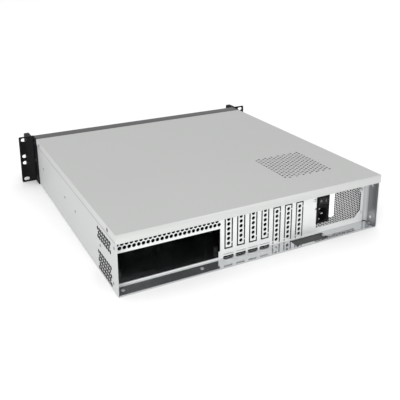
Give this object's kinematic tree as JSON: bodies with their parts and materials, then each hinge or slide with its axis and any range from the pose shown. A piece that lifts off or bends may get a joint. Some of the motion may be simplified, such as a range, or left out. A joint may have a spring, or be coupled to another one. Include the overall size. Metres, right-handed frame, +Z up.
{
  "type": "rackmount server case",
  "caption": "Empty 2U rackmount server case with black rack ears and handles, perforated lid, recessed rear panel with board window, expansion slots and power supply.",
  "frame": {"origin": "under the middle of the whole box, on the plane of the flat bottom", "axes": "+X is to the right seen from the front, +Y points to the rear panel, +Z is up; the rack ears' mounting plane is y = -0.208"},
  "size_m": [0.4826, 0.484, 0.088],
  "materials": {
    "lid_paint": "fine silver-grey powder coat",
    "tray_steel": "bare zinc-coated sheet",
    "panel_steel": "bright zinc-coated sheet",
    "front_paint": "black powder coat",
    "ear_paint": "black powder coat",
    "handle_paint": "black satin coat",
    "cover_plastic": "black moulding",
    "fan_plastic": "black moulding",
    "psu_steel": "bare zinc-coated sheet",
    "module_plastic": "black moulding",
    "rocker_plastic": "black moulding",
    "pin_brass": "nickel-plated pins",
    "label_paper": "bare white label",
    "post_steel": "blackened steel posts",
    "screw_black": "blackened screw",
    "board_green": "circuit board",
    "port_steel": "plated shell",
    "light_pipe": "clear light pipe",
    "screw_steel": "zinc-plated screw",
    "button_plastic": "black button"
  },
  "bodies": {
    "case": {"chassis_tray": "tray_steel", "rear_panel": "panel_steel", "top_cover": "lid_paint", "wall_bracket": "panel_steel", "front_panel": "front_paint", "rack_ear_left": "ear_paint", "rack_ear_right": "ear_paint", "handle_left": "handle_paint", "handle_right": "handle_paint", "fan_wall": "tray_steel", "fan_frame_1": "fan_plastic", "fan_frame_2": "fan_plastic", "fan_frame_3": "fan_plastic", "drive_cage": "tray_steel", "bay_cover": "cover_plastic", "cross_brace": "tray_steel", "board_standoffs": "post_steel", "psu_housing": "psu_steel", "psu_cover": "psu_steel", "psu_fan_frame": "fan_plastic", "inlet_module": "module_plastic", "inlet_pins": "pin_brass", "rating_label": "label_paper", "control_board": "board_green", "light_pipes": "light_pipe", "port_shells": "port_steel", "lid_screws": "screw_steel", "ear_screws": "screw_black", "psu_screws": "screw_steel"},
    "fan_rotor_1": {"impeller_1": "fan_plastic"},
    "fan_rotor_2": {"impeller_2": "fan_plastic"},
    "fan_rotor_3": {"impeller_3": "fan_plastic"},
    "psu_rotor": {"psu_impeller": "fan_plastic"},
    "rocker": {"power_rocker": "rocker_plastic"},
    "power_plunger": {"power_button": "button_plastic"},
    "reset_plunger": {"reset_button": "button_plastic"}
  },
  "joints": [
    {"name": "fan_spin_1", "type": "hinge", "parent": "case", "child": "fan_rotor_1", "pos_m": [-0.112, -0.045, 0.044], "axis": [0, 1, 0], "continuous": true},
    {"name": "fan_spin_2", "type": "hinge", "parent": "case", "child": "fan_rotor_2", "pos_m": [0, -0.045, 0.044], "axis": [0, 1, 0], "continuous": true},
    {"name": "fan_spin_3", "type": "hinge", "parent": "case", "child": "fan_rotor_3", "pos_m": [0.112, -0.045, 0.044], "axis": [0, 1, 0], "continuous": true},
    {"name": "psu_fan_spin", "type": "hinge", "parent": "case", "child": "psu_rotor", "pos_m": [-0.17, 0.2, 0.0351], "axis": [0, 1, 0], "continuous": true},
    {"name": "rocker_tip", "type": "hinge", "parent": "case", "child": "rocker", "pos_m": [-0.125, 0.215, 0.0541], "axis": [0, 0, 1], "range_deg": [0, 12]},
    {"name": "power_press", "type": "slide", "parent": "case", "child": "power_plunger", "axis": [0, 1, 0], "range_m": [0, 0.0015], "stiffness_N_per_m": 400},
    {"name": "reset_press", "type": "slide", "parent": "case", "child": "reset_plunger", "axis": [0, 1, 0], "range_m": [0, 0.0015], "stiffness_N_per_m": 400}
  ]
}
